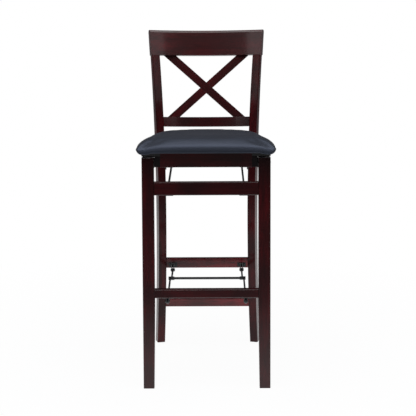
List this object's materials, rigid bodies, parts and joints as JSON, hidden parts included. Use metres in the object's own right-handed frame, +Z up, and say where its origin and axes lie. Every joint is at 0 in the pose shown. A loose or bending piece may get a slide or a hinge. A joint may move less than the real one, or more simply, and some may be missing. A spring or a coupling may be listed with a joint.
{
  "type": "folding bar stool",
  "caption": "Folding wooden bar stool with a curved top rail, crossed back slats, a padded black seat, a footrest rail and a steel linkage that folds it flat.",
  "frame": {"origin": "on the floor, at the centre of the open stool's bounding box seen from above", "axes": "+X to the right as seen from the front, +Y to the back, +Z up"},
  "size_m": [0.428, 0.5696, 1.0763],
  "materials": {
    "stained_wood": "dark cherry stain under satin lacquer",
    "board": "black painted wood board",
    "vinyl": "black upholstery vinyl, fine grain",
    "black_steel": "black, semi-gloss"
  },
  "bodies": {
    "rear_frame": {"rear_post_left": "stained_wood", "rear_post_right": "stained_wood", "crest_rail": "stained_wood", "lower_back_rail": "stained_wood", "back_slat_front": "stained_wood", "back_slat_back": "stained_wood", "rear_lower_stretcher": "stained_wood", "rear_upper_stretcher": "stained_wood", "seat_hinge_plate_left": "black_steel", "seat_hinge_plate_right": "black_steel", "hinge_plate_screws": "black_steel", "seat_pivot_pins": "black_steel", "link_rear_pins": "black_steel", "spreader_rear_bracket_left": "black_steel", "spreader_rear_bracket_right": "black_steel", "spreader_rear_bracket_screws": "black_steel", "spreader_rear_pins": "black_steel"},
    "seat": {"seat_side_rail_left": "stained_wood", "seat_side_rail_right": "stained_wood", "seat_apron": "stained_wood", "seat_rear_rail": "stained_wood", "seat_board": "board", "seat_cushion": "vinyl"},
    "front_frame": {"front_leg_left": "stained_wood", "front_leg_right": "stained_wood", "front_upper_stretcher": "stained_wood", "footrest_rail": "stained_wood", "link_front_bracket_left": "black_steel", "link_front_bracket_right": "black_steel", "link_front_bracket_screws": "black_steel", "link_front_pins": "black_steel", "spreader_front_bracket_left": "black_steel", "spreader_front_bracket_right": "black_steel", "spreader_front_bracket_screws": "black_steel", "spreader_front_pins": "black_steel", "front_pivot_bolts": "black_steel"},
    "upper_link_left": {"upper_link_left": "black_steel"},
    "upper_link_right": {"upper_link_right": "black_steel"},
    "spreader_rear": {"spreader_rear_arm_left": "black_steel", "spreader_rear_arm_right": "black_steel", "cross_rod": "black_steel"},
    "spreader_front_left": {"spreader_front_arm_left": "black_steel"},
    "spreader_front_right": {"spreader_front_arm_right": "black_steel"}
  },
  "joints": [
    {"name": "seat_fold", "type": "hinge", "parent": "rear_frame", "child": "seat", "pos_m": [0, 0.12316, 0.708], "axis": [-1, 0, 0], "range_deg": [0, 75]},
    {"name": "front_frame_hang", "type": "hinge", "parent": "seat", "child": "front_frame", "pos_m": [0, -0.20784, 0.706], "axis": [-1, 0, 0], "range_deg": [-75, 0]},
    {"name": "upper_link_left_turn", "type": "hinge", "parent": "rear_frame", "child": "upper_link_left", "pos_m": [0, 0.13116, 0.634], "axis": [-1, 0, 0], "range_deg": [0, 75]},
    {"name": "upper_link_right_turn", "type": "hinge", "parent": "rear_frame", "child": "upper_link_right", "pos_m": [0, 0.13116, 0.634], "axis": [-1, 0, 0], "range_deg": [0, 75]},
    {"name": "spreader_rear_turn", "type": "hinge", "parent": "rear_frame", "child": "spreader_rear", "pos_m": [0, 0.15716, 0.27], "axis": [-1, 0, 0], "range_deg": [0, 20.62]},
    {"name": "spreader_front_left_turn", "type": "hinge", "parent": "spreader_rear", "child": "spreader_front_left", "pos_m": [0, 0.04316, 0.2705], "axis": [-1, 0, 0], "range_deg": [0, 58.12]},
    {"name": "spreader_front_right_turn", "type": "hinge", "parent": "spreader_rear", "child": "spreader_front_right", "pos_m": [0, 0.04316, 0.2705], "axis": [-1, 0, 0], "range_deg": [0, 58.12]}
  ],
  "couplings": [
    {"joint": "front_frame_hang", "follows": "seat_fold", "ratio": -1},
    {"joint": "upper_link_left_turn", "follows": "seat_fold", "ratio": 1},
    {"joint": "upper_link_right_turn", "follows": "seat_fold", "ratio": 1},
    {"joint": "spreader_rear_turn", "follows": "seat_fold", "ratio": 0.275},
    {"joint": "spreader_front_left_turn", "follows": "seat_fold", "ratio": 0.775},
    {"joint": "spreader_front_right_turn", "follows": "seat_fold", "ratio": 0.775}
  ]
}
